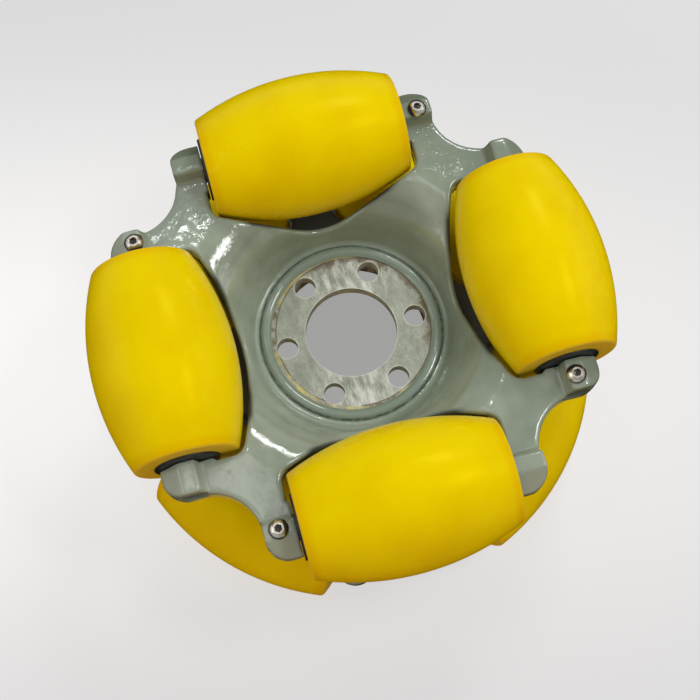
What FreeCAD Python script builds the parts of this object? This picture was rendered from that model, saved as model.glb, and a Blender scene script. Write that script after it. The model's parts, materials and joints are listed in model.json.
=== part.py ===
import FreeCAD, Part
import math
import os

from FreeCAD import Rotation, Vector

# Double-row omni wheel, millimetres and degrees.
# The wheel's axis is Z, the front face looks along +Z, and the origin is the middle of the wheel.
# The first front roller stands on +X. The rear row is the front row turned over and moved on by half a step.

# Wheel
wheel_diameter = 203.0
row_gap = 3.3
rollers_per_row = 4

# Tyre and core of a roller
roller_diameter = 55.6
roller_length = 79.5
tyre_edge_radius = 1.5
core_diameter = 22.0
core_relief_diameter = 16.0

# Flanged bush, one at each end of a roller
bush_diameter = 14.0
bush_length = 16.0
bush_flange_diameter = 25.0
bush_flange_thickness = 0.9
bush_flange_edge = 0.3

# Axle and its lock screw
axle_diameter = 10.0
axle_recess = 2.5
axle_chamfer = 0.8
screw_diameter = 4.0
screw_head_diameter = 7.6
screw_head_height = 2.2
screw_head_rim = 0.3
screw_crown_diameter = 4.2
screw_length = 16.0
screw_socket_width = 2.5
screw_socket_depth = 1.3
screw_from_ear_end = 5.95

# Mounting flange: its front face stands ahead of the wheel's middle, a round recess thins it from the rear
flange_face = 6.8
flange_thickness = 5.6
rear_recess_diameter = 62.0
bore_diameter = 37.0
bore_chamfer = 0.6
bolt_circle_diameter = 53.0
bolt_hole_diameter = 8.6
bolt_count = 6
machined_face_diameter = 64.4
lip_width = 4.8
lip_height = 1.6

# Dish and arms of the casting
dish_slope = 62.0
dish_foot_radius = 2.5
dish_shoulder_radius = 26.0
plate_thickness = 10.0
plate_rise = 2.0
plate_edge_radius = 1.5
pocket_clearance = 1.5
pocket_corner_radius = 5.0
pocket_end_relief = 0.9
notch_shoulder = 4.2

# Ears: heights are counted up or down from the axle, reaches outwards or inwards from it
ear_length = 12.3
ear_top = 8.1
ear_bottom = 9.0
ear_outer_reach = 10.9
ear_inner_reach = 10.0
ear_flat_outer = 3.4
ear_flat_inner = 2.8
ear_step_width = 1.8
ear_side_top = 1.5
ear_side_bottom = 4.0
ear_corner_radius = 8.0
ear_crease_radius = 1.5
ear_edge_radius = 1.2

# Clearances, each on one side or on the radius
running_clearance = 0.05
sliding_clearance = 0.03
seat_clearance = 0.02
thread_clearance = 0.05
screw_hole_clearance = 0.2
end_float = 0.2

# Places that follow from the sizes above
row_spacing = roller_diameter + row_gap
axle_height = row_spacing / 2
pitch_radius = (wheel_diameter - roller_diameter) / 2
step_angle = 360.0 / rollers_per_row
half_step = step_angle / 2
flange_middle = flange_face - flange_thickness / 2
lip_inner_radius = machined_face_diameter / 2
lip_outer_radius = lip_inner_radius + lip_width
plate_front = axle_height + plate_rise
plate_back = plate_front - plate_thickness
ear_start = roller_length / 2 + bush_flange_thickness + end_float
ear_end = ear_start + ear_length
screw_place = ear_end - screw_from_ear_end
axle_half_length = ear_end - axle_recess
pocket_half_length = ear_start + pocket_end_relief
pocket_radius = wheel_diameter / 2 + pocket_clearance
pocket_corner = 2 * pitch_radius - math.sqrt(pocket_radius ** 2 - pocket_half_length ** 2)
disc_radius = math.hypot(pocket_corner, pocket_half_length)
neck_angle = half_step - math.degrees(math.atan2(pocket_half_length, pocket_corner))
neck_width = 2 * disc_radius * math.sin(math.radians(neck_angle))
notch_radius = pitch_radius + ear_flat_outer - ear_end - notch_shoulder
beyond = wheel_diameter

up = Vector(0, 0, 1)
origin = Vector(0, 0, 0)
axle_direction = Vector(0, 1, 0)
parallel = 0.999
same_length = 0.001
hex_sides = 6


def line(start, end):
    return Part.LineSegment(start, end).toShape()


def arc(start, through, end):
    return Part.Arc(start, through, end).toShape()


def arc_about(centre, radius, first, last):
    # An arc in the XZ plane, its angles counted from +X towards +Z
    def on_arc(angle):
        turn = math.radians(angle)
        return centre + Vector(math.cos(turn), 0, math.sin(turn)) * radius

    return arc(on_arc(first), on_arc((first + last) / 2), on_arc(last))


def face_of(edges):
    return Part.Face(Part.Wire(Part.__sortEdges__(edges)))


def polygon(points):
    return Part.Face(Part.makePolygon(points + [points[0]]))


def about_axle(section):
    # Turns a section drawn in the YX plane, X being the radius, about the Y axis
    return section.revolve(origin, axle_direction, 360)


def chain(points):
    return [line(a, b) for a, b in zip(points, points[1:])]


def rounded(solid, radius, chosen):
    edges = [edge for edge in solid.Edges if chosen(edge)]
    return solid.makeFillet(radius, edges) if edges else solid


def is_upright(edge):
    return len(edge.Vertexes) == 2 and abs(edge.tangentAt(edge.FirstParameter).z) > parallel


def is_round(edge):
    return isinstance(edge.Curve, Part.Circle)


def is_wall(face):
    # A flat or round face that stands along the wheel's axis
    surface = face.Surface
    if isinstance(surface, Part.Cylinder):
        return abs(surface.Axis.z) > parallel
    return isinstance(surface, Part.Plane) and abs(surface.Axis.z) < 1 - parallel


def wall_meets_slope(solid, edge):
    walls = [is_wall(face) for face in solid.ancestorsOfType(edge, Part.Face)]
    return len(walls) == 2 and walls[0] != walls[1]


def around_wheel(solid, count):
    return [solid.rotated(origin, up, 360.0 * i / count) for i in range(count)]


def turned_over(solid):
    # Takes a front piece to its place in the rear row
    bearing = math.radians(half_step / 2)
    return solid.rotated(origin, Vector(math.cos(bearing), math.sin(bearing), 0), 180)


# The casting

def dish_of_revolution():
    # The dish and the arms' plate as one turned wall of even thickness: foot, slope and shoulder
    slope = math.radians(dish_slope)
    foot = Vector(lip_outer_radius, 0, flange_face + dish_foot_radius)
    foot_top = foot + Vector(math.sin(slope), 0, -math.cos(slope)) * dish_foot_radius
    shoulder_height = plate_front - dish_shoulder_radius
    rise = shoulder_height + dish_shoulder_radius * math.cos(slope) - foot_top.z
    shoulder_x = foot_top.x + rise / math.tan(slope) + dish_shoulder_radius * math.sin(slope)
    shoulder = Vector(shoulder_x, 0, shoulder_height)
    foot_front = arc_about(foot, dish_foot_radius, -90, -90 + dish_slope)
    shoulder_front = arc_about(shoulder, dish_shoulder_radius, 90 + dish_slope, 90)
    foot_back = arc_about(foot, dish_foot_radius + plate_thickness, -90 + dish_slope, -90)
    shoulder_back = arc_about(shoulder, dish_shoulder_radius - plate_thickness, 90, 90 + dish_slope)
    front = [
        line(Vector(0, 0, flange_face), Vector(lip_outer_radius, 0, flange_face)),
        foot_front,
        line(foot_front.Vertexes[-1].Point, shoulder_front.Vertexes[0].Point),
        shoulder_front,
    ]
    rim = chain([
        Vector(shoulder_x, 0, plate_front),
        Vector(beyond, 0, plate_front),
        Vector(beyond, 0, plate_back),
        Vector(shoulder_x, 0, plate_back),
    ])
    back = [
        shoulder_back,
        line(shoulder_back.Vertexes[-1].Point, foot_back.Vertexes[0].Point),
        foot_back,
    ]
    back += chain([
        Vector(lip_outer_radius, 0, flange_face - plate_thickness),
        Vector(0, 0, flange_face - plate_thickness),
        Vector(0, 0, flange_face),
    ])
    return face_of(front + rim + back).revolve(origin, up, 360)


def lip():
    # The round bead about the machined face, with its root in the flange
    start = Vector(lip_inner_radius, 0, flange_face)
    crest = Vector(lip_inner_radius + lip_width / 2, 0, flange_face + lip_height)
    end = Vector(lip_outer_radius, 0, flange_face)
    root = Vector(0, 0, -lip_height)
    section = face_of([arc(start, crest, end)] + chain([end, end + root, start + root, start]))
    return section.revolve(origin, up, 360)


def beside_arm(reach, along):
    # A point of the arm on +X, given by its reach beyond the axle line and its place along that axle
    bearing = math.radians(half_step)
    outwards = Vector(math.cos(bearing), math.sin(bearing), 0)
    towards_arm = Vector(math.sin(bearing), -math.cos(bearing), 0)
    return outwards * (pitch_radius + reach) + towards_arm * along


def mirrored(point):
    return Vector(point.x, -point.y, point.z)


def arm_plan():
    # The arm on +X seen from the front, with the round notch between its two ears
    bearing = math.radians(half_step)
    inner_corner = beside_arm(ear_flat_outer, ear_start)
    outer_corner = beside_arm(ear_flat_outer, ear_end)
    notch_apex = ear_end / math.sin(bearing)
    notch_centre = notch_apex + notch_radius / math.cos(bearing)
    notch_edge = Vector(
        notch_centre - notch_radius * math.cos(bearing),
        notch_radius * math.sin(bearing),
        0,
    )
    notch_bottom = Vector(notch_centre - notch_radius, 0, 0)
    side = chain([origin, inner_corner, outer_corner, notch_edge])
    other_side = chain([mirrored(notch_edge), mirrored(outer_corner), mirrored(inner_corner), origin])
    return face_of(side + [arc(notch_edge, notch_bottom, mirrored(notch_edge))] + other_side)


def pocket():
    # The well that the roller on +X turns in, cut along the wheel's axis
    low = Vector(pocket_corner, -pocket_half_length, 0)
    high = Vector(pocket_corner, pocket_half_length, 0)
    edges = [arc(low, Vector(2 * pitch_radius - pocket_radius, 0, 0), high)]
    edges += chain([
        high,
        Vector(beyond, pocket_half_length, 0),
        Vector(beyond, -pocket_half_length, 0),
        low,
    ])
    well = face_of(edges).extrude(up * beyond).translated(-up * beyond / 2)

    def is_inner_corner(edge):
        return is_upright(edge) and edge.Vertexes[0].X < beyond / 2

    return rounded(well, pocket_corner_radius, is_inner_corner)


def spider():
    # The front arms and their dish, before the ears are added
    pockets = around_wheel(pocket(), rollers_per_row)
    body = Part.makeCylinder(disc_radius, beyond, -up * beyond / 2)
    arm = arm_plan().extrude(up * beyond).translated(-up * beyond / 2).rotated(origin, up, half_step)
    body = body.fuse(around_wheel(arm, rollers_per_row)).cut(pockets).removeSplitter()
    body = dish_of_revolution().common(body)

    def is_rim(edge):
        return wall_meets_slope(body, edge)

    edge_radius = min(plate_edge_radius, neck_width / 3)
    return rounded(body, edge_radius, is_rim).fuse(lip().cut(pockets))


def ear():
    # The ear beyond the +Y end of the roller on +X: a flat-topped boss round the axle's hole
    step_foot = -ear_flat_inner - ear_step_width
    section = polygon([
        Vector(-ear_inner_reach, 0, plate_rise),
        Vector(step_foot, 0, plate_rise),
        Vector(-ear_flat_inner, 0, ear_top),
        Vector(ear_flat_outer, 0, ear_top),
        Vector(ear_outer_reach, 0, ear_side_top),
        Vector(ear_outer_reach, 0, -ear_side_bottom),
        Vector(ear_flat_outer, 0, -ear_bottom),
        Vector(-ear_flat_outer, 0, -ear_bottom),
        Vector(-ear_inner_reach, 0, plate_rise - plate_thickness),
    ])
    boss = section.extrude(axle_direction * ear_length)

    def is_crease(edge):
        box = edge.BoundBox
        along_axle = box.YLength > ear_length / 2
        return along_axle and box.XMin > step_foot and box.ZMin > plate_rise

    boss = rounded(boss, ear_crease_radius, is_crease)
    plan = Part.makeBox(
        ear_inner_reach + ear_outer_reach,
        ear_length,
        2 * row_spacing,
        Vector(-ear_inner_reach, 0, -row_spacing),
    )

    def is_far_corner(edge):
        corner = edge.Vertexes[0]
        return is_upright(edge) and corner.X > 0 and corner.Y > ear_length / 2

    def is_pad_corner(edge):
        corner = edge.Vertexes[0]
        return is_upright(edge) and corner.X < 0 and corner.Y < ear_length / 2

    plan = rounded(plan, ear_corner_radius, is_far_corner)
    plan = rounded(plan, pocket_end_relief, is_pad_corner)
    boss = boss.common(plan)

    def is_outer_rim(edge):
        box = edge.BoundBox
        on_rim = wall_meets_slope(boss, edge)
        return on_rim and box.XMin > step_foot and box.YMax > same_length

    boss = rounded(boss, ear_edge_radius, is_outer_rim)
    return boss.translated(Vector(pitch_radius, ear_start, axle_height))


def half_casting():
    one_ear = ear()
    pair = [one_ear, one_ear.mirror(origin, axle_direction)]
    ears = [solid for each in pair for solid in around_wheel(each, rollers_per_row)]
    return spider().fuse(ears)


def axle_hole():
    radius = axle_diameter / 2 + sliding_clearance
    start = Vector(pitch_radius, -ear_end - notch_radius, axle_height)
    return Part.makeCylinder(radius, 2 * (ear_end + notch_radius), start, axle_direction)


def screw_hole():
    # Clear through the ear's top wall and the axle, tapped in the wall below it
    seat = Vector(pitch_radius, -screw_place, axle_height + ear_top)
    clear = Part.makeCylinder(screw_diameter / 2 + screw_hole_clearance, ear_top, seat, -up)
    tapped = Part.makeCylinder(screw_diameter / 2 + thread_clearance, ear_top + ear_bottom, seat, -up)
    return clear.fuse(tapped)


def hub():
    casting = half_casting()
    casting = casting.fuse(turned_over(casting)).removeSplitter()
    front_holes = around_wheel(axle_hole(), rollers_per_row) + around_wheel(screw_hole(), rollers_per_row)
    holes = front_holes + [turned_over(hole) for hole in front_holes]
    holes.append(Part.makeCylinder(bore_diameter / 2, beyond, -up * beyond / 2))
    bolt_place = Vector(bolt_circle_diameter / 2, 0, -beyond / 2)
    holes += around_wheel(Part.makeCylinder(bolt_hole_diameter / 2, beyond, bolt_place), bolt_count)
    mouth = Part.makeCone(
        bore_diameter / 2,
        bore_diameter / 2 + bore_chamfer,
        bore_chamfer,
        up * (flange_face - bore_chamfer),
    )
    holes += [mouth, mouth.mirror(up * flange_middle, up)]
    recess_floor = up * (flange_face - flange_thickness)
    holes.append(Part.makeCylinder(rear_recess_diameter / 2, beyond, recess_floor, -up))
    return casting.cut(holes)


# The rollers, each made with its middle at the origin and its axle along Y

def tyre():
    half = roller_length / 2
    crown = wheel_diameter / 2
    end_radius = math.sqrt(crown ** 2 - half ** 2) - pitch_radius
    inside = core_diameter / 2 + seat_clearance
    low = Vector(end_radius, -half, 0)
    high = Vector(end_radius, half, 0)
    outline = [arc(low, Vector(roller_diameter / 2, 0, 0), high)]
    outline += chain([high, Vector(inside, half, 0), Vector(inside, -half, 0), low])
    barrel = about_axle(face_of(outline))

    def is_end_rim(edge):
        return is_round(edge) and abs(edge.Curve.Radius - end_radius) < same_length

    return rounded(barrel, tyre_edge_radius, is_end_rim)


def core():
    half = roller_length / 2
    outside = core_diameter / 2
    seat = bush_diameter / 2 + seat_clearance
    relief = core_relief_diameter / 2
    relief_half = half - bush_length
    return about_axle(polygon([
        Vector(outside, -half, 0),
        Vector(outside, half, 0),
        Vector(seat, half, 0),
        Vector(seat, relief_half, 0),
        Vector(relief, relief_half, 0),
        Vector(relief, -relief_half, 0),
        Vector(seat, -relief_half, 0),
        Vector(seat, -half, 0),
    ]))


def bush():
    # At the +Y end, its flange flat against the end of the core
    seat = roller_length / 2
    bore = axle_diameter / 2 + running_clearance
    flange = bush_flange_diameter / 2
    outer_face = seat + bush_flange_thickness
    return about_axle(polygon([
        Vector(bore, seat - bush_length, 0),
        Vector(bush_diameter / 2, seat - bush_length, 0),
        Vector(bush_diameter / 2, seat, 0),
        Vector(flange, seat, 0),
        Vector(flange, outer_face - bush_flange_edge, 0),
        Vector(flange - bush_flange_edge, outer_face, 0),
        Vector(bore, outer_face, 0),
    ]))


def axle():
    radius = axle_diameter / 2
    half = axle_half_length
    pin = about_axle(polygon([
        Vector(0, -half, 0),
        Vector(radius - axle_chamfer, -half, 0),
        Vector(radius, -half + axle_chamfer, 0),
        Vector(radius, half - axle_chamfer, 0),
        Vector(radius - axle_chamfer, half, 0),
        Vector(0, half, 0),
    ]))
    cross_hole = Part.makeCylinder(
        screw_diameter / 2 + screw_hole_clearance,
        2 * axle_diameter,
        Vector(0, -screw_place, -axle_diameter),
    )
    return pin.cut(cross_hole)


def lock_screw():
    # Through the ear, the axle and the ear again, its domed head on the ear's flat
    rim = screw_head_diameter / 2
    crown = screw_crown_diameter / 2
    dome_rise = screw_head_height - screw_head_rim
    dome_drop = (rim ** 2 - crown ** 2 - dome_rise ** 2) / (2 * dome_rise)
    dome = Part.makeSphere(math.hypot(rim, dome_drop), up * (screw_head_rim - dome_drop))
    head = Part.makeCylinder(rim, screw_head_height).common(dome)
    corner_radius = screw_socket_width / math.cos(math.pi / hex_sides) / 2
    corner = Vector(corner_radius, 0, screw_head_height)
    corners = [Rotation(up, 360.0 * i / hex_sides).multVec(corner) for i in range(hex_sides)]
    socket = polygon(corners).extrude(-up * screw_socket_depth)
    shank = Part.makeCylinder(screw_diameter / 2, screw_length, origin, -up)
    screw = head.fuse(shank).cut(socket).removeSplitter()
    return screw.translated(Vector(0, -screw_place, ear_top))


def placed(solid, row, index):
    solid = solid.translated(Vector(pitch_radius, 0, axle_height))
    solid = solid.rotated(origin, up, step_angle * index)
    return solid if row == "front" else turned_over(solid)


def export(shape, name):
    shape.exportStep("parts/" + name + ".step")


os.makedirs("parts", exist_ok=True)

export(hub(), "hub")

end_bush = bush()
roller_pieces = {
    "tyre": tyre(),
    "core": core(),
    "bush_a": end_bush,
    "bush_b": end_bush.mirror(origin, axle_direction),
    "axle": axle(),
}
screw = lock_screw()
screws = []
for row in ("front", "rear"):
    for index in range(rollers_per_row):
        for piece, solid in roller_pieces.items():
            export(placed(solid, row, index), f"{row}_roller_{index + 1}_{piece}")
        screws.append(placed(screw, row, index))
export(Part.makeCompound(screws), "lock_screws")
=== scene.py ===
import json
import math

import bmesh
import bpy
from mathutils import Matrix, Vector


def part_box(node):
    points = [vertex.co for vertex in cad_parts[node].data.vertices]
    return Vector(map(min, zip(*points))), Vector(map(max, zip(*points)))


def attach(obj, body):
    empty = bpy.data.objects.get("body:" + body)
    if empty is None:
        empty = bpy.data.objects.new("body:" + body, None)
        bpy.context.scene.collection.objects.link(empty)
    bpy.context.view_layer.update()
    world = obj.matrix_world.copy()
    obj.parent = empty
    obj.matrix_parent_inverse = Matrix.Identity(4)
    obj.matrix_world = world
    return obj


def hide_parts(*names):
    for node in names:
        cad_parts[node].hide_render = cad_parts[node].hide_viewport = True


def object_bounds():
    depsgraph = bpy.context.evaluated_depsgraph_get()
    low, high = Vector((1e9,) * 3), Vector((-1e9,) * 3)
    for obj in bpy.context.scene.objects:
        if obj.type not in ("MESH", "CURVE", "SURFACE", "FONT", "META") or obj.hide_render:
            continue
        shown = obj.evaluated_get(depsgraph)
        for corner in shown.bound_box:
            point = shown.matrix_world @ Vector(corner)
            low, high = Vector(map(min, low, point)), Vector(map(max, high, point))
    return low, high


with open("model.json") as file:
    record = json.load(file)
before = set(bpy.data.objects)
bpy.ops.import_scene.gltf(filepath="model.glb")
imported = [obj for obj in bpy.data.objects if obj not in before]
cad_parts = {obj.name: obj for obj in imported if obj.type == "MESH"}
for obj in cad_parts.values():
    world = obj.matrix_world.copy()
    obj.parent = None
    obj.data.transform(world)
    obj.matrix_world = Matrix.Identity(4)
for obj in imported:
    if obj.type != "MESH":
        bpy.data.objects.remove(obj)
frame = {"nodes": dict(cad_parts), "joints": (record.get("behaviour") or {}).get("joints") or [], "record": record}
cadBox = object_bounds()
nodes = frame["nodes"]
joints = frame["joints"]
mounts = {mount["name"]: mount for mount in frame["record"]["mounts"]}
up = Vector((0, 0, 1))
mm = 0.001
print("frame loaded:", len(nodes), "nodes,", len(joints), "rollers")

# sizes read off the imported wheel
flangeFace = mounts["front_flange_face"]["pos_m"][2]
flangeBack = mounts["rear_flange_face"]["pos_m"][2]
boreRadius = mounts["bore"]["dims"]["r_mm"] * mm
boltRadius = mounts["bolt_circle"]["dims"]["hole_r_mm"] * mm
boltCircle = mounts["bolt_circle"]["dims"]["pcd_mm"] * mm / 2
boltCount = mounts["bolt_circle"]["dims"]["count"]
axleLow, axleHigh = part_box("front_roller_1_axle")   # this axle lies along Y
axleHalf = axleHigh.y
axleRadius = (axleHigh.x - axleLow.x) / 2
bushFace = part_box("front_roller_1_bush_a")[1].y
tyreLow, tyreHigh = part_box("front_roller_1_tyre")
tyreHalf = tyreHigh.y
wheelRadius = max(abs(tyreLow.x), abs(tyreHigh.x))
pitchRadius = Vector(joints[0]["pos_m"]).xy.length
axleHeight = abs(joints[0]["pos_m"][2])


# nodes and sockets

class Wire:
    # one socket of a node tree, so that sums on it read as sums
    def __init__(self, tree, socket=None):
        self.tree = tree
        self.socket = socket

    def add(self, kind, settings=None, inputs=None, output=0):
        # any node: its settings first, then the values or links of its sockets
        node = self.tree.nodes.new(kind)
        for name, value in (settings or {}).items():
            setattr(node, name, value)
        for name, value in (inputs or {}).items():
            for part in value if isinstance(value, list) else [value]:
                if isinstance(part, Wire):
                    self.tree.links.new(part.socket, node.inputs[name])
                else:
                    node.inputs[name].default_value = part
        return Wire(self.tree, node.outputs[output])

    def maths(self, operation, *values):
        return self.add("ShaderNodeMath", {"operation": operation}, dict(enumerate(values)))

    def __add__(self, other):
        return self.maths("ADD", self, other)

    def __radd__(self, other):
        return self.maths("ADD", other, self)

    def __sub__(self, other):
        return self.maths("SUBTRACT", self, other)

    def __rsub__(self, other):
        return self.maths("SUBTRACT", other, self)

    def __mul__(self, other):
        return self.maths("MULTIPLY", self, other)

    def __rmul__(self, other):
        return self.maths("MULTIPLY", other, self)

    def __truediv__(self, other):
        return self.maths("DIVIDE", self, other)

    def __rtruediv__(self, other):
        return self.maths("DIVIDE", other, self)

    def __pow__(self, other):
        return self.maths("POWER", self, other)

    def __abs__(self):
        return self.maths("ABSOLUTE", self)

    def ramp(self, low, high):
        # 0 below low, 1 above high, smooth between
        ends = {"Value": self, "From Min": low, "From Max": high}
        return self.add("ShaderNodeMapRange", {"interpolation_type": "SMOOTHSTEP"}, ends)

    def fall(self, low, high):
        # 1 below low, 0 above high
        return 1 - self.ramp(low, high)


def rgb(red, green, blue):
    # a screen colour, 0 to 255, as the linear colour of a socket
    def linear(value):
        share = value / 255
        return share / 12.92 if share <= 0.04045 else ((share + 0.055) / 1.055) ** 2.4

    return (linear(red), linear(green), linear(blue), 1)


white = rgb(255, 255, 255)


def blend(mask, under, over):
    inputs = {0: mask, 6: under, 7: over}   # the colour sockets of a Mix node
    return mask.add("ShaderNodeMix", {"data_type": "RGBA"}, inputs, 2)


def noise(place, wavelength, detail=2.0, roughness=0.5, stretch=None, turn=(0, 0, 0)):
    if stretch:
        mapped = {"Vector": place, "Scale": stretch, "Rotation": turn}
        place = place.add("ShaderNodeMapping", None, mapped)
    inputs = {"Vector": place, "Scale": 1 / wavelength, "Detail": detail, "Roughness": roughness}
    return place.add("ShaderNodeTexNoise", None, inputs)


def bump(height, depth, under=None):
    # height runs from 0 to 1 and depth is its size in metres
    inputs = {"Height": height, "Distance": depth, "Strength": 1.0}
    if under:
        inputs["Normal"] = under
    return height.add("ShaderNodeBump", None, inputs)


def newMaterial(name, **fixed):
    # fixed values go straight onto the shader's own sockets
    material = bpy.data.materials.new(name)
    material.use_nodes = True
    shader = material.node_tree.nodes["Principled BSDF"]
    for socket, value in fixed.items():
        shader.inputs[socket.replace("_", " ")].default_value = value
    wire = Wire(material.node_tree)
    place = wire.add("ShaderNodeTexCoord", None, None, "Object")
    return material, shader, place


def feed(shader, **wires):
    for socket, wire in wires.items():
        wire.tree.links.new(wire.socket, shader.inputs[socket.replace("_", " ")])


def split(place):
    first = place.add("ShaderNodeSeparateXYZ", None, {0: place})
    return [Wire(place.tree, socket) for socket in first.socket.node.outputs]


def towards(x, y, turn):
    # how far a point lies in the direction of turn
    return x * math.cos(turn) + y * math.sin(turn)


def newTree(name, inputs):
    # a Geometry Nodes tree that takes a mesh and the named inputs
    tree = bpy.data.node_groups.new(name, "GeometryNodeTree")
    tree.interface.new_socket("Geometry", in_out="INPUT", socket_type="NodeSocketGeometry")
    tree.interface.new_socket("Geometry", in_out="OUTPUT", socket_type="NodeSocketGeometry")
    for label, kind in inputs.items():
        tree.interface.new_socket(label, in_out="INPUT", socket_type="NodeSocket" + kind)
    source = tree.nodes.new("NodeGroupInput")
    return tree, {socket.name: Wire(tree, socket) for socket in source.outputs if socket.name}


def closeTree(tree, shape, material):
    shape = shape.add("GeometryNodeRealizeInstances", None, {"Geometry": shape})
    shape = shape.add("GeometryNodeSetMaterial", None, {"Geometry": shape, "Material": material})
    target = tree.nodes.new("NodeGroupOutput")
    tree.links.new(shape.socket, target.inputs[0])


def grow(piece, tree, values):
    # hangs the tree on a piece, its inputs set by their identifiers
    modifier = piece.modifiers.new(tree.name, "NODES")
    modifier.node_group = tree
    sockets = [item for item in tree.interface.items_tree if item.in_out == "INPUT"]
    keys = {socket.name: socket.identifier for socket in sockets}
    for label, value in values.items():
        modifier[keys[label]] = value


# materials: a noise is its length, detail and roughness, and a pair is where a mask starts and ends

enamel = {
    "paint": rgb(146, 158, 143),
    "paintThin": rgb(121, 134, 117),
    "thinTurn": math.radians(45),   # painted shade: the enamel turns darker towards one side, standing in for weaker light there
    "thinRate": 2.2,
    "thinRange": (0.35, 0.68),
    "cloudNoise": (30 * mm, 3.0, 0.55),
    "raggedNoise": (4 * mm, 4.0, 0.6),
    "lipPaint": rgb(122, 138, 124),
    "lipShare": 0.9,
    "lipInner": 32.4 * mm,
    "lipBlur": 0.4 * mm,
    "lipOuter": 36.6 * mm,
    "lipFade": 0.8 * mm,
    "lipRise": (2.5 * mm, 4 * mm),   # above the flange
    "grooveDirt": rgb(58, 58, 46),
    "grooveShare": 0.75,
    "grooveWidth": (0.1 * mm, 0.7 * mm),
    "grooveWander": 1.2 * mm,
    "grooveRise": (2 * mm, 3 * mm),
    "grooveBreaks": (0.3, 0.55),
    "wellDirt": rgb(22, 22, 15),   # painted shade round the tyres and behind the dish, where the casting lies in shadow
    "wellShare": 0.78,
    "wellCloud": 0.2,
    "wellGap": (2.6 * mm, 5 * mm),
    "wellEnd": (-1 * mm, 3 * mm),   # past the tyre's end, so the painted shade leaves the ears
    "wellHeight": (27.4 * mm, 29.9 * mm),
    "dishFoot": 34.7 * mm,   # the dish's own surface lies at dishFoot + dishLean * height
    "dishLean": 0.55,
    "behindDepth": (1.6 * mm, 3.2 * mm),
    "behindHeight": (23 * mm, 27.5 * mm),
    "behindRadius": (64 * mm, 80 * mm),
    "peelNoise": (1.5 * mm, 2.0, 0.5),
    "peelDepth": 0.05 * mm,
    "waveNoise": (6.5 * mm, 2.0, 0.45),
    "waveDepth": 0.34 * mm,
    "rough": 0.08,
    "roughCloud": 0.07,
    "roughWell": 0.75,
    "ior": 1.5,
    "coat": 0.25,
    "coatRough": 0.05,
}
bareFace = {
    "metal": rgb(158, 164, 151),
    "metalDark": rgb(132, 138, 124),
    "radius": 32.2 * mm,
    "radiusBlur": 0.1 * mm,
    "height": (7.0 * mm, 7.05 * mm),
    "stainNoise": (11 * mm, 5.0, 0.62),
    "stainRange": (0.36, 0.64),
    "fleckNoise": (0.9 * mm, 3.0, 0.65),
    "fleckRange": (0.40, 0.58),
    "fleckShare": 0.5,
    "pit": rgb(98, 97, 86),
    "pitRange": (0.62, 0.74),
    "pitShare": 0.5,
    "smearNoise": (3.4 * mm, 5.0, 0.72, (1, 0.3, 1), (0, 0, 0.7)),   # drawn out and turned
    "smearRange": (0.38, 0.66),
    "smearShare": 0.18,
    "scrapeShare": 0.68,   # painted reflection: the smears are brighter along one direction, as a turned face mirrors light
    "scrapeTurn": math.radians(80),
    "scrapeRange": (0.35, 0.95),
    "cutCentre": (0.95 * mm, 0.30 * mm),   # the facing cut runs a little off the casting's middle
    "cutRadius": 31.3 * mm,
    "missedWander": 1.1 * mm,
    "missedBlur": 0.3 * mm,
    "missedShare": 0.85,
    "patchNoise": (17 * mm, 3.0, 0.55),
    "residue": rgb(214, 198, 118),
    "residueRange": (0.40, 0.62),
    "residueBreaks": (0.45, 0.62),
    "crust": rgb(92, 78, 54),
    "crustTurn": math.radians(45),
    "crustSide": (0.2, 0.6),
    "crustRadius": (28.4 * mm, 30.8 * mm),
    "crustWander": 9 * mm,
    "crustShare": 0.3,
    "edgeWidth": (0.1 * mm, 0.45 * mm),
    "edgeWander": 0.8 * mm,
    "edgeBreaks": (0.38, 0.5),
    "edgeShare": 0.8,
    "rim": rgb(214, 217, 209),
    "rimWidth": (0.2 * mm, 0.5 * mm),
    "rimShare": 0.9,
    "turningPitch": 0.42 * mm,
    "turningDepth": 0.008 * mm,
    "turningShare": 0.4,
    "rough": 0.46,
    "roughFleck": 0.2,
    "roughMissed": 0.1,
    "metallic": 0.35,
}


def tyreGap(x, y, z, end):
    # distance from a point of the casting to the nearest tyre of its own row, larger on the ears
    front = z.maths("GREATER_THAN", z, 0.0)
    half = math.sqrt(0.5)
    across = abs(x * front + (x + y) * half * (1 - front))
    along = abs(y * front + (y - x) * half * (1 - front))
    out = x.maths("MAXIMUM", across, along)
    aside = x.maths("MINIMUM", across, along)
    reach = ((out - pitchRadius) ** 2 + (abs(z) - axleHeight) ** 2) ** 0.5
    pastEnd = (aside - tyreHalf).ramp(*end)
    return reach - ((wheelRadius ** 2 - aside * aside) ** 0.5 - pitchRadius) + pastEnd * wheelRadius


def boltGap(x, y, radius):
    # distance from the middle of the nearest bolt hole
    sector = 2 * math.pi / boltCount
    angle = x.maths("ARCTAN2", y, x)
    angle = x.maths("WRAP", angle, sector / 2, -sector / 2)
    out = radius * x.maths("COSINE", angle) - boltCircle
    side = radius * x.maths("SINE", angle)
    return (out * out + side * side) ** 0.5


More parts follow.
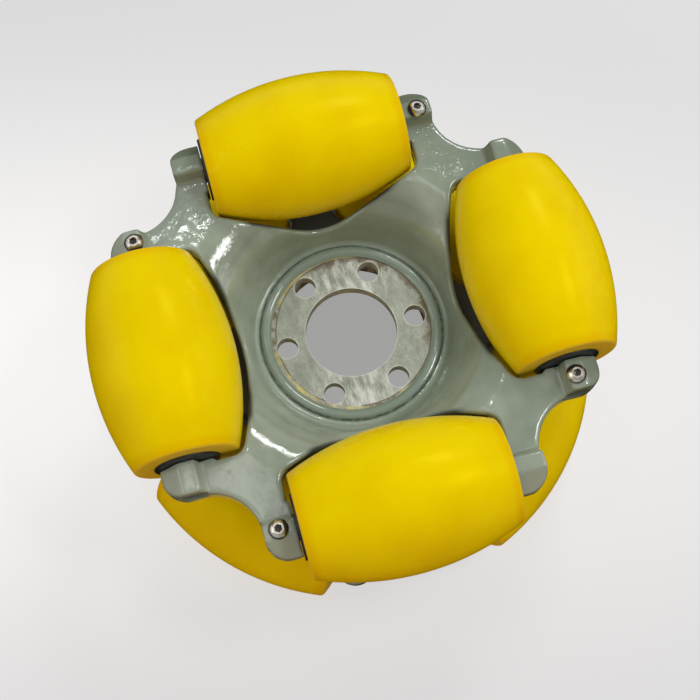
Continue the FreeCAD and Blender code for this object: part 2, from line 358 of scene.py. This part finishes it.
def castingMaterial(look, bare):
    fixed = {"Coat_Roughness": look["coatRough"], "IOR": look["ior"]}
    material, shader, place = newMaterial("castingEnamel", **fixed)
    x, y, z = split(place)
    radius = (x * x + y * y) ** 0.5
    height = abs(z)
    rise = height - flangeFace
    cloud = noise(place, *look["cloudNoise"])
    ragged = noise(place, *look["raggedNoise"])
    wander = ragged - 0.5
    faced = radius.fall(bare["radius"], bare["radius"] + bare["radiusBlur"])
    faced = faced * height.fall(*bare["height"])
    painted = 1 - faced

    # enamel: thick and glossy, a darker tone at random and as painted shade towards one side, teal on the lip,
    # painted shade in the groove and the wells
    shadeSide = towards(x, y, look["thinTurn"]) * look["thinRate"]
    paint = blend((cloud + shadeSide).ramp(*look["thinRange"]), look["paint"], look["paintThin"])
    onLip = radius.ramp(look["lipInner"] - look["lipBlur"], look["lipInner"])
    onLip = onLip * radius.fall(look["lipOuter"], look["lipOuter"] + look["lipFade"])
    onLip = onLip * rise.fall(*look["lipRise"])
    paint = blend(onLip * look["lipShare"], paint, look["lipPaint"])
    # painted shade: a broken dark line along the groove at the foot of the lip
    groove = abs(radius - look["lipOuter"] + wander * look["grooveWander"]).fall(*look["grooveWidth"])
    groove = groove * rise.fall(*look["grooveRise"]) * ragged.ramp(*look["grooveBreaks"])
    paint = blend(groove * look["grooveShare"], paint, look["grooveDirt"])
    # painted shade in the gaps round the tyres and on the casting behind the dish
    well = tyreGap(x, y, z, look["wellEnd"]).fall(*look["wellGap"])
    well = well * height.fall(*look["wellHeight"])
    behind = (radius - look["dishFoot"] - height * look["dishLean"]).ramp(*look["behindDepth"])
    behind = behind * height.fall(*look["behindHeight"]) * radius.fall(*look["behindRadius"])
    well = well.maths("MAXIMUM", well, behind)
    paint = blend(well * (look["wellShare"] + cloud * look["wellCloud"]), paint, look["wellDirt"])

    # bare face: mottled, pitted and smeared, with a painted reflection brightening the smears along one direction
    stain = noise(place, *bare["stainNoise"])
    fleck = noise(place, *bare["fleckNoise"])
    smear = noise(place, *bare["smearNoise"])
    metal = blend(stain.ramp(*bare["stainRange"]), bare["metalDark"], bare["metal"])
    metal = blend(fleck.ramp(*bare["fleckRange"]) * bare["fleckShare"], metal, bare["metalDark"])
    metal = blend(fleck.ramp(*bare["pitRange"]) * bare["pitShare"], metal, bare["pit"])
    smearAndSheen = towards(x, y, bare["scrapeTurn"]) / radius
    smearAndSheen = (smearAndSheen * smearAndSheen).ramp(*bare["scrapeRange"])
    smearAndSheen = bare["smearShare"] + smearAndSheen * bare["scrapeShare"]
    metal = blend(smear.ramp(*bare["smearRange"]) * smearAndSheen, metal, bare["rim"])

    # residue and crust where the facing cut fell short, a dark line along the cut's edge that is crust and partly
    # painted shade, painted highlights on the rims of the holes
    cut = ((x - bare["cutCentre"][0]) ** 2 + (y - bare["cutCentre"][1]) ** 2) ** 0.5
    past = cut - bare["cutRadius"]
    missed = (past + wander * bare["missedWander"]).ramp(0, bare["missedBlur"])
    edge = abs(past + wander * bare["edgeWander"]).fall(*bare["edgeWidth"])
    patch = noise(place, *bare["patchNoise"])
    crusted = towards(x, y, bare["crustTurn"]) / radius
    stained = (cut + wander * bare["crustWander"]).ramp(*bare["crustRadius"])
    stained = stained * crusted.ramp(*bare["crustSide"])
    metal = blend(stained * (bare["crustShare"] + patch), metal, bare["crust"])
    residue = blend(patch.ramp(*bare["residueRange"]), bare["residue"], bare["crust"])
    residue = blend(ragged.ramp(*bare["residueBreaks"]), residue, bare["metal"])
    metal = blend(missed * bare["missedShare"], metal, residue)
    # a dark line along the cut's edge: crust, and partly painted shade at the step to the lip
    metal = blend(edge * patch.ramp(*bare["edgeBreaks"]) * bare["edgeShare"], metal, bare["crust"])
    # painted highlight: a broken bright line round the bore and the bolt holes
    rim = (radius - boreRadius).fall(*bare["rimWidth"])
    holeGlint = (boltGap(x, y, radius) - boltRadius).fall(*bare["rimWidth"])
    rim = rim.maths("MAXIMUM", rim, holeGlint)
    metal = blend(rim * ragged * bare["rimShare"], metal, bare["rim"])

    wave = noise(place, *look["waveNoise"])
    peel = noise(place, *look["peelNoise"])
    ring = cut.maths("SINE", cut * (2 * math.pi / bare["turningPitch"])) * 0.5 + 0.5
    relief = bump(wave * painted, look["waveDepth"])
    relief = bump(peel * painted, look["peelDepth"], relief)
    relief = bump(ring * faced * (bare["turningShare"] + fleck), bare["turningDepth"], relief)

    gloss = look["rough"] + cloud * look["roughCloud"] + well * look["roughWell"]
    dull = bare["rough"] + fleck * bare["roughFleck"] + missed * bare["roughMissed"]
    feed(
        shader,
        Base_Color=blend(faced, paint, metal),
        Roughness=gloss * painted + dull * faced,
        Metallic=faced * (1 - missed) * bare["metallic"],
        Coat_Weight=painted * (1 - well) * look["coat"],
        Normal=relief,
    )
    return material


tyreLook = {
    "yellow": rgb(230, 205, 1),
    "deep": rgb(223, 195, 0),
    "cloudNoise": (26 * mm, 3.0, 0.5),
    "cloudRange": (0.35, 0.7),
    "orange": rgb(206, 134, 0),   # a band at each end of the barrel: the polyurethane's own orange tint, and partly painted shade where the rounded end turns from the light
    "bandRange": (1.2 * mm, 5.0 * mm),
    "bandWander": 2 * mm,
    "bandShare": 0.28,
    "face": rgb(216, 190, 48),   # the flat end
    "faceRange": (0.2 * mm, 0.8 * mm),
    "faceShare": 0.85,
    "scuff": rgb(246, 226, 60),
    "scuffShare": 0.3,
    "streakNoise": (12 * mm, 3.0, 0.6, (1, 0.18, 1)),   # drawn out along the axle
    "streakRange": (0.62, 0.74),
    "grainNoise": (2.2 * mm, 3.0, 0.6),
    "grainRange": (0.45, 0.62),
    "grainDepth": 0.008 * mm,
    "swellNoise": (22 * mm, 1.0, 0.4),
    "swellDepth": 0.10 * mm,
    "rough": 0.22,
    "roughCloud": 0.1,
    "roughScuff": 0.15,
    "roughFace": 0.25,
    "ior": 1.45,
    "specular": 0.18,
    "sheen": rgb(255, 226, 20),
    "glow": 0.3,
    "glowReach": (1.0, 0.3, 0.05),
    "glowDepth": 6 * mm,
}


def tyreMaterial(name, joint, look):
    # the pattern is centred on its own roller, with the axle along Y
    material, shader, place = newMaterial(
        name,
        IOR=look["ior"],
        Specular_IOR_Level=look["specular"],
        Specular_Tint=look["sheen"],
        Subsurface_Weight=look["glow"],
        Subsurface_Radius=look["glowReach"],
        Subsurface_Scale=look["glowDepth"],
    )
    middle = tuple(joint["pos_m"])
    turn = math.atan2(middle[1], middle[0])
    home = {"Vector": place, "Location": middle, "Rotation": (0, 0, turn)}
    place = place.add("ShaderNodeMapping", {"vector_type": "TEXTURE"}, home)
    inside = tyreHalf - abs(split(place)[1])   # distance from the barrel's end
    shifted = place.add("ShaderNodeVectorMath", {"operation": "ADD"}, {0: place, 1: middle})
    cloud = noise(shifted, *look["cloudNoise"])
    streak = noise(shifted, *look["streakNoise"])
    grain = noise(shifted, *look["grainNoise"])
    swell = noise(shifted, *look["swellNoise"])
    colour = blend(cloud.ramp(*look["cloudRange"]), look["yellow"], look["deep"])
    band = (inside + (cloud - 0.5) * look["bandWander"]).fall(*look["bandRange"])
    colour = blend(band * look["bandShare"], colour, look["orange"])
    face = inside.fall(*look["faceRange"])
    colour = blend(face * look["faceShare"], colour, look["face"])
    scuff = streak.ramp(*look["streakRange"]) * grain.ramp(*look["grainRange"])
    colour = blend(scuff * look["scuffShare"], colour, look["scuff"])
    relief = bump(swell, look["swellDepth"])
    relief = bump(grain, look["grainDepth"], relief)
    rough = look["rough"] + cloud * look["roughCloud"]
    rough = rough + scuff * look["roughScuff"] + face * look["roughFace"]
    feed(shader, Base_Color=colour, Roughness=rough, Normal=relief)
    return material


steels = {
    "screwSteel": {
        "bright": rgb(196, 192, 182),
        "dark": rgb(150, 145, 134),
        "length": 3 * mm,
        "rough": 0.18,
    },
    "axleSteel": {
        "bright": rgb(92, 90, 86),
        "dark": rgb(60, 58, 54),
        "length": 8 * mm,
        "rough": 0.32,
    },
    "coreSteel": {
        "bright": rgb(160, 160, 158),
        "dark": rgb(120, 119, 116),
        "length": 10 * mm,
        "rough": 0.3,
    },
}
steelGrain = {
    "cloud": (4.0, 0.6),   # detail and roughness
    "cloudRange": (0.35, 0.7),
    "fine": (3.0, 0.6),
    "fineness": 9,   # grains to one cloud
    "depth": 0.006 * mm,
    "rough": 0.12,
    # painted shade for the inside of the screws' hex sockets
    "shade": rgb(26, 23, 18),
    "shadeShare": 0.9,
}


def steelMaterial(name, grain, shaded=None):
    # shaded names the mesh attribute that marks where painted shade darkens the steel
    look = steels[name]
    material, shader, place = newMaterial(name, Metallic=1.0)
    cloud = noise(place, look["length"], *grain["cloud"])
    fine = noise(place, look["length"] / grain["fineness"], *grain["fine"])
    colour = blend(cloud.ramp(*grain["cloudRange"]), look["bright"], look["dark"])
    if shaded:
        deep = place.add("ShaderNodeAttribute", {"attribute_name": shaded}, None, "Fac")
        colour = blend(deep * grain["shadeShare"], colour, grain["shade"])
    rough = look["rough"] + fine * grain["rough"]
    feed(shader, Base_Color=colour, Roughness=rough, Normal=bump(fine, grain["depth"]))
    return material


bushLook = {
    "black": rgb(15, 15, 16),
    "worn": rgb(29, 28, 27),
    "wornNoise": (9 * mm, 3.0, 0.55),
    "wornRange": (0.4, 0.7),
    "grainNoise": (0.9 * mm, 3.0, 0.6),
    "grainDepth": 0.012 * mm,
    "rough": 0.38,
    "roughGrain": 0.18,
    "ior": 1.5,
}


def bushMaterial(look):
    material, shader, place = newMaterial("bushPlastic", IOR=look["ior"])
    worn = noise(place, *look["wornNoise"])
    grain = noise(place, *look["grainNoise"])
    colour = blend(worn.ramp(*look["wornRange"]), look["black"], look["worn"])
    rough = look["rough"] + grain * look["roughGrain"]
    feed(shader, Base_Color=colour, Roughness=rough, Normal=bump(grain, look["grainDepth"]))
    return material


# mesh helpers

def newPiece(name, mesh):
    piece = bpy.data.objects.new(name, mesh)
    bpy.context.scene.collection.objects.link(piece)
    return piece


def settle(piece):
    # works the modifiers into the mesh
    graph = bpy.context.evaluated_depsgraph_get()
    mesh = bpy.data.meshes.new_from_object(piece.evaluated_get(graph))
    old = piece.data
    piece.modifiers.clear()
    piece.data = mesh
    bpy.data.meshes.remove(old)
    mesh.name = piece.name


def addRod(shape, start, end, radius, sides=96):
    along = end - start
    turn = along.to_track_quat("Z", "Y").to_matrix().to_4x4()
    bmesh.ops.create_cone(
        shape,
        cap_ends=True,
        segments=sides,
        radius1=radius,
        radius2=radius,
        depth=along.length,
        matrix=Matrix.Translation((start + end) / 2) @ turn,
    )


def smoothByAngle(mesh, degrees):
    shape = bmesh.new()
    shape.from_mesh(mesh)
    limit = math.radians(degrees)
    for face in shape.faces:
        face.smooth = True
    for edge in shape.edges:
        edge.smooth = len(edge.link_faces) == 2 and edge.calc_face_angle(0) < limit
    shape.to_mesh(mesh)
    shape.free()


def dress(piece, material):
    piece.data.materials.clear()
    piece.data.materials.append(material)


# places that repeat

def axleEnds():
    # the middle of each roller, with each of the two ways along its axle
    for joint in joints:
        for side in (-1, 1):
            yield Vector(joint["pos_m"]), Vector(joint["axis"]).normalized() * side


def boltPlaces():
    for index in range(boltCount):
        turn = 2 * math.pi * index / boltCount
        yield Vector((math.cos(turn), math.sin(turn), 0)) * boltCircle


def screwTops():
    # middle of the top of each screw head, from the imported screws
    points = [vertex.co for vertex in nodes["lock_screws"].data.vertices]
    tops = []
    for joint in joints:
        centre = Vector(joint["pos_m"])
        axle = Vector(joint["axis"]).normalized()
        near = [point for point in points if abs((point - centre).dot(axle)) > tyreHalf]
        near = [point for point in near if (point - centre).length < axleHalf + axleRadius]
        near = [point for point in near if point.z * centre.z > 0]
        xs = [point.x for point in near]
        ys = [point.y for point in near]
        outer = math.copysign(max(abs(point.z) for point in near), centre.z)
        tops.append(Vector(((min(xs) + max(xs)) / 2, (min(ys) + max(ys)) / 2, outer)))
    return tops


# the casting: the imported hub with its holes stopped, cast soft and uneven, then machined

casting = {
    "mergeDistance": 0.001 * mm,
    "borePlug": 1.2 * mm,   # how far a plug reaches into the wall round its hole
    "holePlug": 0.4 * mm,
    "voxel": 0.62 * mm,
    "smoothFactor": 0.5,
    "smoothPasses": 2,
    "keptShare": 0.38,
    "waveLength": 13 * mm,
    "waveDepth": 0.18 * mm,
    "dimpleLength": 4.5 * mm,
    "dimpleDepth": 0.07 * mm,
    "skinRange": (0.3, 0.7),
    "quietRadius": 34 * mm,
    "quietFade": 6 * mm,
    "axleRecess": 2.5 * mm,
    "rearRecess": 31.0 * mm,
    "facingDepth": 0.12 * mm,
    "facingSides": 256,
    "boreSides": 160,
    "drillReach": 3,   # times the flange face's height
    "axleDrill": (2 * mm, 9 * mm),   # inside the bush's face and past the axle's end
    "holePlay": 0.03 * mm,
    "screwHole": 2.2 * mm,
    "screwHoleDepth": 18 * mm,
    "screwHoleSides": 48,
    "sharpAngle": 38,
}


def castSkinTree(look):
    # pushes the skin inwards by a slow wave and small dimples, away from the flange
    tree, source = newTree("castSkin", {
        "Wave Length": "Float",
        "Wave Depth": "Float",
        "Dimple Length": "Float",
        "Dimple Depth": "Float",
        "Quiet Radius": "Float",
        "Quiet Fade": "Float",
        "Material": "Material",
    })
    shape = source["Geometry"]
    place = shape.add("GeometryNodeInputPosition")
    normal = shape.add("GeometryNodeInputNormal")
    x, y = split(place)[:2]
    radius = (x * x + y * y) ** 0.5
    wave = noise(place, source["Wave Length"]).ramp(*look["skinRange"])
    dimple = noise(place, source["Dimple Length"]).ramp(*look["skinRange"])
    depth = wave * source["Wave Depth"] + dimple * source["Dimple Depth"]
    depth = depth * radius.ramp(source["Quiet Radius"], source["Quiet Radius"] + source["Quiet Fade"])
    offset = shape.add("ShaderNodeVectorMath", {"operation": "SCALE"}, {0: normal, "Scale": -1 * depth})
    moved = shape.add("GeometryNodeSetPosition", None, {"Geometry": shape, "Offset": offset})
    closeTree(tree, moved, source["Material"])
    return tree


def stopHoles(shape, look):
    addRod(shape, up * flangeBack, up * flangeFace, boreRadius + look["borePlug"])
    for place in boltPlaces():
        addRod(shape, place + up * flangeBack, place + up * flangeFace, boltRadius + look["holePlug"])
    for centre, outwards in axleEnds():
        start = centre + outwards * (bushFace + look["holePlug"])
        end = centre + outwards * (axleHalf + look["axleRecess"])
        addRod(shape, start, end, axleRadius + look["holePlug"])


def drills(look, tops):
    # two sets, because the holes within one set have to stay apart, and the facing cuts
    first = bmesh.new()
    second = bmesh.new()
    facing = bmesh.new()
    reach = up * (flangeFace * look["drillReach"])
    addRod(first, -reach, reach, boreRadius, look["boreSides"])
    inside, past = look["axleDrill"]
    for centre, outwards in axleEnds():
        start = centre + outwards * (bushFace - inside)
        end = centre + outwards * (axleHalf + past)
        addRod(first, start, end, axleRadius + look["holePlay"])
    for place in boltPlaces():
        addRod(second, place - reach, place + reach, boltRadius)
    for top in tops:
        inwards = up * -math.copysign(look["screwHoleDepth"], top.z)
        addRod(second, top, top + inwards, look["screwHole"], look["screwHoleSides"])
    front = up * (flangeFace - look["facingDepth"])
    rear = up * (flangeBack + look["facingDepth"])
    addRod(facing, front, reach, bareFace["radius"], look["facingSides"])
    addRod(facing, rear, -reach, look["rearRecess"], look["facingSides"])
    return first, second, facing


def castHub(look, tops, material):
    shape = bmesh.new()
    shape.from_mesh(nodes["hub"].data)
    bmesh.ops.remove_doubles(shape, verts=shape.verts, dist=look["mergeDistance"])
    stopHoles(shape, look)
    mesh = bpy.data.meshes.new("hub_casting")
    shape.to_mesh(mesh)
    shape.free()
    piece = newPiece("hub_casting", mesh)
    remesh = piece.modifiers.new("remesh", "REMESH")
    remesh.mode = "VOXEL"
    remesh.voxel_size = look["voxel"]
    smooth = piece.modifiers.new("smooth", "SMOOTH")
    smooth.factor = look["smoothFactor"]
    smooth.iterations = look["smoothPasses"]
    grow(piece, castSkinTree(look), {
        "Wave Length": look["waveLength"],
        "Wave Depth": look["waveDepth"],
        "Dimple Length": look["dimpleLength"],
        "Dimple Depth": look["dimpleDepth"],
        "Quiet Radius": look["quietRadius"],
        "Quiet Fade": look["quietFade"],
        "Material": material,
    })
    thin = piece.modifiers.new("thin", "DECIMATE")
    thin.ratio = look["keptShare"]
    settle(piece)
    print("casting poured:", len(piece.data.polygons), "faces")
    tools = []
    for index, drill in enumerate(drills(look, tops)):
        mesh = bpy.data.meshes.new(f"drill_{index}")
        drill.to_mesh(mesh)
        drill.free()
        tools.append(newPiece(f"drill_{index}", mesh))
        cut = piece.modifiers.new(f"cut_{index}", "BOOLEAN")
        cut.operation = "DIFFERENCE"
        cut.solver = "MANIFOLD"
        cut.object = tools[-1]
    settle(piece)
    for tool in tools:
        bpy.data.objects.remove(tool)
    smoothByAngle(piece.data, look["sharpAngle"])
    dress(piece, material)
    piece.data.calc_loop_triangles()
    print("casting machined:", len(piece.data.loop_triangles), "triangles")
    return piece


tops = screwTops()
hubPiece = castHub(casting, tops, castingMaterial(enamel, bareFace))
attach(hubPiece, "hub")
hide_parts("hub")


# lock screws: one button head with a hex socket, set round each row by a tree

screw = {
    "headRadius": 3.8 * mm,
    "headHeight": 2.2 * mm,
    "rimHeight": 0.3 * mm,
    "crownRadius": 2.1 * mm,
    "domeSteps": 7,
    "socketWidth": 2.5 * mm,
    "socketDepth": 1.3 * mm,
    "socketChamfer": 0.12 * mm,
    "socketPoint": 0.15,   # drill point under the socket, as a share of its width
    "socketReach": 0.59,   # what lies nearer the middle than this share of the width is in the socket
    "threadRadius": 2.0 * mm,
    "threadPoint": 0.3,   # chamfer at the screw's point, as a share of its radius
    "length": 16 * mm,
    "perRow": 4,
    "sides": 48,
    "sharpAngle": 30,
    "seed": 5,
}


def screwShape(look):
    # rings from the bottom of the socket over the dome and down to the point, origin under the head
    sides = look["sides"]
    top = look["headHeight"]
    thread = look["threadRadius"]

    def ring(radius, height):
        return [(radius, height)] * sides

    def hexagon(width, height):
        reach = []
        for index in range(sides):
            aside = (index / sides * 6) % 1 - 0.5
            reach.append((width / 2 / math.cos(aside * math.pi / 3), height))
        return reach

    rings = [
        hexagon(look["socketWidth"], top - look["socketDepth"]),
        hexagon(look["socketWidth"], top - look["socketChamfer"]),
        hexagon(look["socketWidth"] + 2 * look["socketChamfer"], top),
        ring(look["crownRadius"], top),
    ]
    # the dome is part of a sphere through the crown's edge and the rim
    rise = top - look["rimHeight"]
    wide = look["headRadius"]
    narrow = look["crownRadius"]
    drop = (wide ** 2 - narrow ** 2 - rise ** 2) / (2 * rise)
    size = math.hypot(wide, drop)
    for step in range(1, look["domeSteps"] + 1):
        height = rise * (1 - step / look["domeSteps"])
        rings.append(ring(math.sqrt(size ** 2 - (height + drop) ** 2), look["rimHeight"] + height))
    rings += [
        ring(wide, 0),
        ring(thread, 0),
        ring(thread, thread * look["threadPoint"] - look["length"]),
        ring(thread * (1 - look["threadPoint"]), -look["length"]),
    ]
    shape = bmesh.new()
    rows = []
    for reach in rings:
        row = []
        for index, (radius, height) in enumerate(reach):
            turn = 2 * math.pi * index / sides
            row.append(shape.verts.new((radius * math.cos(turn), radius * math.sin(turn), height)))
        rows.append(row)
    for first, second in zip(rows, rows[1:]):
        for index in range(sides):
            after = (index + 1) % sides
            shape.faces.new((first[index], second[index], second[after], first[after]))
    pitDepth = look["socketDepth"] + look["socketWidth"] * look["socketPoint"]
    pit = shape.verts.new((0, 0, top - pitDepth))
    point = shape.verts.new((0, 0, -look["length"]))
    for index in range(sides):
        after = (index + 1) % sides
        shape.faces.new((pit, rows[0][index], rows[0][after]))
        shape.faces.new((point, rows[-1][after], rows[-1][index]))
    bmesh.ops.recalc_face_normals(shape, faces=shape.faces)
    mesh = bpy.data.meshes.new("screw_shape")
    shape.to_mesh(mesh)
    shape.free()
    depth = mesh.attributes.new("socketDepth", "FLOAT", "POINT")   # 1 on the socket's walls and floor, which get painted shade
    for vertex, value in zip(mesh.vertices, depth.data):
        inner = vertex.co.xy.length < look["socketWidth"] * look["socketReach"]
        below = 0 < vertex.co.z < top - look["socketChamfer"] / 2
        value.value = 1.0 if inner and below else 0.0
    return mesh


def screwRingTree():
    # a ring of screws on the front row, and the same ring turned over for the rear row
    tree, source = newTree("screwRing", {
        "Screw": "Object",
        "Per Row": "Int",
        "Ring Radius": "Float",
        "Ring Turn": "Float",
        "Seat Height": "Float",
        "Flip Turn": "Float",
        "Seed": "Int",
        "Material": "Material",
    })
    start = source["Geometry"]
    circle = {"Vertices": source["Per Row"], "Radius": source["Ring Radius"]}
    points = start.add("GeometryNodeMeshCircle", None, circle)
    lift = start.add("ShaderNodeCombineXYZ", None, {"Z": source["Seat Height"]})
    turn = start.add("ShaderNodeCombineXYZ", None, {"Z": source["Ring Turn"]})
    placed = {"Geometry": points, "Translation": lift, "Rotation": turn}
    points = start.add("GeometryNodeTransform", None, placed)
    anyTurn = {2: 0.0, 3: 2 * math.pi, "Seed": source["Seed"]}   # 2 and 3 are the limits of a float
    chance = start.add("FunctionNodeRandomValue", {"data_type": "FLOAT"}, anyTurn, 1)
    spin = start.add("ShaderNodeCombineXYZ", None, {"Z": chance})
    single = start.add("GeometryNodeObjectInfo", None, {"Object": source["Screw"]}, "Geometry")
    setting = {"Points": points, "Instance": single, "Rotation": spin}
    front = start.add("GeometryNodeInstanceOnPoints", None, setting)
    over = start.add("ShaderNodeCombineXYZ", None, {"X": math.pi, "Z": source["Flip Turn"]})
    rear = start.add("GeometryNodeTransform", None, {"Geometry": front, "Rotation": over})
    both = start.add("GeometryNodeJoinGeometry", None, {"Geometry": [front, rear]})
    closeTree(tree, both, source["Material"])
    return tree


def setScrews(look, tops, material):
    front = next(top for top in tops if top.z > 0)
    rear = next(top for top in tops if top.z < 0)
    frontTurn = math.atan2(front.y, front.x)
    rearTurn = math.atan2(rear.y, rear.x)
    single = newPiece("screw_single", screwShape(look))
    piece = newPiece("lock_screw_set", bpy.data.meshes.new("lock_screw_set"))
    grow(piece, screwRingTree(), {
        "Screw": single,
        "Per Row": look["perRow"],
        "Ring Radius": front.xy.length,
        "Ring Turn": frontTurn,
        "Seat Height": front.z - look["headHeight"],
        "Flip Turn": frontTurn + rearTurn,
        "Seed": look["seed"],
        "Material": material,
    })
    settle(piece)
    bpy.data.objects.remove(single)
    smoothByAngle(piece.data, look["sharpAngle"])
    print("screws set:", len(piece.data.polygons), "faces")
    return piece


screwPiece = setScrews(screw, tops, steelMaterial("screwSteel", steelGrain, "socketDepth"))
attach(screwPiece, "hub")
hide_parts("lock_screws")


# finishes of the carried-over nodes

axleSteel = steelMaterial("axleSteel", steelGrain)
coreSteel = steelMaterial("coreSteel", steelGrain)
bushPlastic = bushMaterial(bushLook)
for joint in joints:
    roller = joint["child"]
    dress(nodes[roller + "_tyre"], tyreMaterial(roller + "_polyurethane", joint, tyreLook))
    dress(nodes[roller + "_core"], coreSteel)
    dress(nodes[roller + "_axle"], axleSteel)
    for end in ("a", "b"):
        dress(nodes[roller + "_bush_" + end], bushPlastic)
print("finishes laid on", len(joints), "rollers")


# floor, light and camera

studio = {
    "floorSize": 40.0,
    "floorColour": rgb(140, 140, 139),
    "floorWorn": rgb(130, 130, 130),
    "wornNoise": (0.4, 2.0, 0.5),
    "wornShare": 0.1,
    "floorRough": 0.6,
    "floorGlow": 0.70,   # the floor is a light table, so shadows on it stay faint
    "floorBright": white,
    "floorDim": rgb(205, 206, 209),
    "brightSpot": -0.15,   # centre of a painted pool of light on the floor, to the left of the wheel in the view
    "spotReach": 0.20,
    "spotStretch": 0.35,   # the spot is drawn out from left to right
    "floorBore": rgb(188, 188, 187),
    "floorDark": rgb(22, 21, 20),
    "seenThrough": 0.013,   # the view through the bore meets the floor behind the axis
    "boreEdge": (0.0435, 0.049),
    "underEdge": (0.070, 0.108),   # painted shadow: the glow fades out and the floor turns dark below the rollers
    "zenithColour": white,
    "horizonColour": rgb(255, 214, 165),   # warm only where it lights, white where it is seen or mirrored
    "zenith": 0.26,
    "horizon": 0.45,
    "skyRange": (-0.1, 0.9),
    "seenGain": 1.8,
    "seenRange": (-0.25, 0.1),   # nothing bright is mirrored from below
}
lamps = {
    "ceiling": {"place": (0.05, 0.15, 1.3), "size": (2.0, 2.0), "power": 3.4},
    "window": {"place": (1.14, 0.0, 0.7), "size": (0.7, 0.5), "power": 2.6},
    "window_west": {"place": (-1.14, 0.1, 0.7), "size": (1.0, 0.6), "power": 3.8},
    "fill_south": {
        "place": (-0.25, -0.9, 0.4),
        "size": (1.2, 0.3),
        "power": 1.2,
        "tint": rgb(255, 172, 90),
    },
    "softbox": {"place": (-0.13, 0.15, 1.2), "size": (0.22, 0.20), "power": 0.26},
    "pane_north": {"place": (-0.08, 0.46, 1.2), "size": (0.04, 0.025), "power": 0.36},
    "pane_small": {"place": (0.25, 0.51, 1.2), "size": (0.02, 0.015), "power": 0.04},
    "pane_corner": {"place": (0.62, 0.90, 1.2), "size": (0.36, 0.24), "power": 5.2},
    "pane_east": {"place": (0.72, -0.08, 1.2), "size": (0.30, 0.24), "power": 4.6},
}
photoView = {
    "azimuth": -15.307,
    "elevation": 72.587,
    "distance": 487.5 * mm,
    "lens": 62.35,
    "shift": (-0.00207, -0.02618),
    "nearest": 10 * mm,
}


def layFloor(look, view):
    half = look["floorSize"] / 2
    corners = [(-half, -half), (half, -half), (half, half), (-half, half)]
    mesh = bpy.data.meshes.new("floor")
    mesh.from_pydata([(x, y, cadBox[0].z) for x, y in corners], [], [(0, 1, 2, 3)])
    floor = newPiece("floor", mesh)
    fixed = {"Roughness": look["floorRough"], "Emission_Strength": look["floorGlow"]}
    material, shader, place = newMaterial("floorPaper", **fixed)
    worn = noise(place, *look["wornNoise"])
    turned = {"Vector": place, "Rotation": (0, 0, math.radians(view["azimuth"]))}
    across, along = split(place.add("ShaderNodeMapping", {"vector_type": "TEXTURE"}, turned))[:2]
    radius = (across * across + (along - look["seenThrough"]) ** 2) ** 0.5
    # painted pool of light: the glow is brightest at the spot and dims away from it
    across = (across - look["brightSpot"]) * look["spotStretch"]
    away = (across * across + along * along) ** 0.5
    # painted shadow under the wheel: dark below the rollers, grey where the bore looks through
    shadowGlow = blend(radius.ramp(*look["boreEdge"]), look["floorBore"], look["floorDark"])
    glow = blend(away.ramp(0, look["spotReach"]), look["floorBright"], look["floorDim"])
    below = radius.fall(*look["underEdge"])
    glow = blend(below, glow, shadowGlow)
    colour = blend(worn * look["wornShare"], look["floorColour"], look["floorWorn"])
    colour = blend(below, colour, look["floorDark"])
    feed(shader, Base_Color=colour, Emission_Color=glow)
    dress(floor, material)
    floor.visible_diffuse = False   # no light thrown back up into the wheel
    floor.visible_glossy = False


def hangLamps(lamps):
    for name, lamp in lamps.items():
        light = bpy.data.lights.new(name, "AREA")
        light.shape = "RECTANGLE"
        light.size, light.size_y = lamp["size"]
        light.energy = lamp["power"]
        light.color = lamp.get("tint", white)[:3]
        holder = newPiece(name, light)
        holder.visible_glossy = "tint" not in lamp   # the tinted fill is not mirrored in the enamel
        holder.location = lamp["place"]
        holder.rotation_euler = (-holder.location).to_track_quat("-Z", "Y").to_euler()


def lightWorld(look):
    world = bpy.data.worlds.new("studio")
    world.use_nodes = True
    sky = world.node_tree.nodes["Background"]
    heading = Wire(world.node_tree).add("ShaderNodeTexCoord", None, None, "Generated")
    height = split(heading)[2]
    high = height.ramp(*look["skyRange"])
    seen = 1 - heading.add("ShaderNodeLightPath", None, None, "Is Diffuse Ray")
    strength = high * (look["zenith"] - look["horizon"]) + look["horizon"]
    above = height.ramp(*look["seenRange"])
    strength = strength * (1 + seen * (above * look["seenGain"] - 1))
    colour = blend(high.maths("MAXIMUM", high, seen), look["horizonColour"], look["zenithColour"])
    feed(sky, Color=colour, Strength=strength)
    bpy.context.scene.world = world
    bpy.context.scene.view_settings.view_transform = "Standard"


def setCamera(view):
    turn = math.radians(view["azimuth"])
    lift = math.radians(view["elevation"])
    level = math.cos(lift)
    back = Vector((math.sin(turn) * level, -math.cos(turn) * level, math.sin(lift)))
    data = bpy.data.cameras.new("photoView")
    data.lens = view["lens"]
    data.shift_x, data.shift_y = view["shift"]
    data.clip_start = view["nearest"]
    camera = newPiece("photoView", data)
    camera.location = up * flangeFace + back * view["distance"]
    camera.rotation_euler = (-back).to_track_quat("-Z", "Y").to_euler()
    bpy.context.scene.camera = camera


layFloor(studio, photoView)
hangLamps(lamps)
lightWorld(studio)
setCamera(photoView)
print("studio ready")
